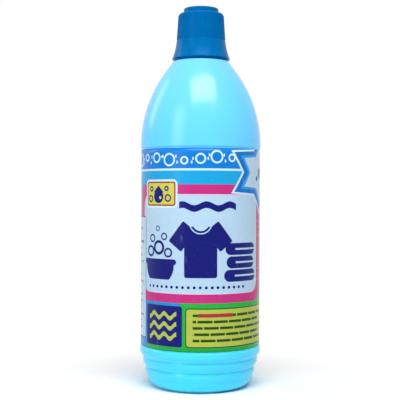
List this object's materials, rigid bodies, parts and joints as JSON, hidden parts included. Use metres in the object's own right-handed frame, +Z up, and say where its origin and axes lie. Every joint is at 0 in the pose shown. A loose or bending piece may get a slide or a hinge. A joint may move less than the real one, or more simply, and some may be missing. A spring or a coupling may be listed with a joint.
{
  "type": "bleach bottle",
  "caption": "Round blow-moulded bleach bottle with stepped foot, recessed label panel, tapering shoulder, pouring plug and flared screw cap.",
  "frame": {"origin": "centre of the base, on the surface that the bottle stands on", "axes": "+Z up along the bottle's axis, -Y towards the front of the label, +X to the viewer's right"},
  "size_m": [0.072, 0.072, 0.2262],
  "materials": {
    "bottle_plastic": "satin blown polyethylene",
    "label_film": "glossy printed film",
    "plug_plastic": "satin natural polyethylene",
    "seal_foam": "matt foam",
    "cap_plastic": "glossy moulded polypropylene"
  },
  "bodies": {
    "bottle": {"bottle": "bottle_plastic", "label": "label_film", "pouring_plug": "plug_plastic"},
    "seal": {"cap_seal": "seal_foam"},
    "cap": {"screw_cap": "cap_plastic"}
  },
  "joints": [
    {"name": "cap_rise", "type": "slide", "parent": "bottle", "child": "seal", "axis": [0, 0, 1], "range_m": [0, 0.0301]},
    {"name": "cap_turn", "type": "hinge", "parent": "seal", "child": "cap", "pos_m": [0, 0, 0.2], "axis": [0, 0, 1], "range_deg": [0, 2700]}
  ],
  "couplings": [
    {"joint": "cap_rise", "follows": "cap_turn", "m_per_rad": 0.00063662}
  ]
}
